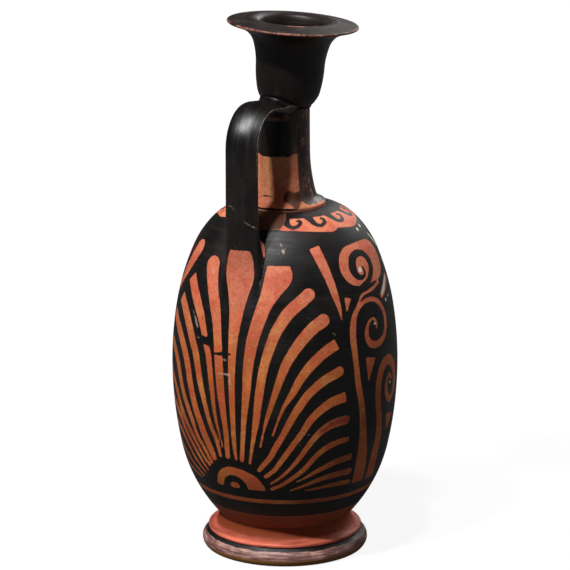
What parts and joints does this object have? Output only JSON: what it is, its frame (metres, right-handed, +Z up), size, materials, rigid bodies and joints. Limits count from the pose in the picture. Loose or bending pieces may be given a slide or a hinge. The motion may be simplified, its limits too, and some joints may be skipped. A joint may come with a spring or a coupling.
{
  "type": "lekythos",
  "caption": "Tall ovoid oil flask with a low moulded foot, a narrow neck, a flared bell mouth and a strap handle, painted in black gloss over red clay.",
  "frame": {"origin": "on the turning axis, at the level of the foot's resting ring", "axes": "+Z up along the turning axis; the handle stands on the -X side and the painted front faces +X"},
  "size_m": [0.084, 0.084, 0.2007],
  "materials": {
    "painted_clay": "black gloss slip over burnished red clay, with reserved ornament",
    "black_gloss": "black gloss slip, worn at the edges",
    "foot_clay": "red-washed clay with a dark line and a worn dark ring",
    "luting_slip": "fired clay slip"
  },
  "bodies": {
    "root": {"body": "painted_clay", "foot": "foot_clay", "neck": "black_gloss", "mouth": "black_gloss", "handle": "black_gloss", "foot_lute": "luting_slip", "neck_lute": "luting_slip", "mouth_lute": "luting_slip", "handle_root_lute": "luting_slip", "handle_top_lute": "luting_slip"}
  },
  "joints": []
}
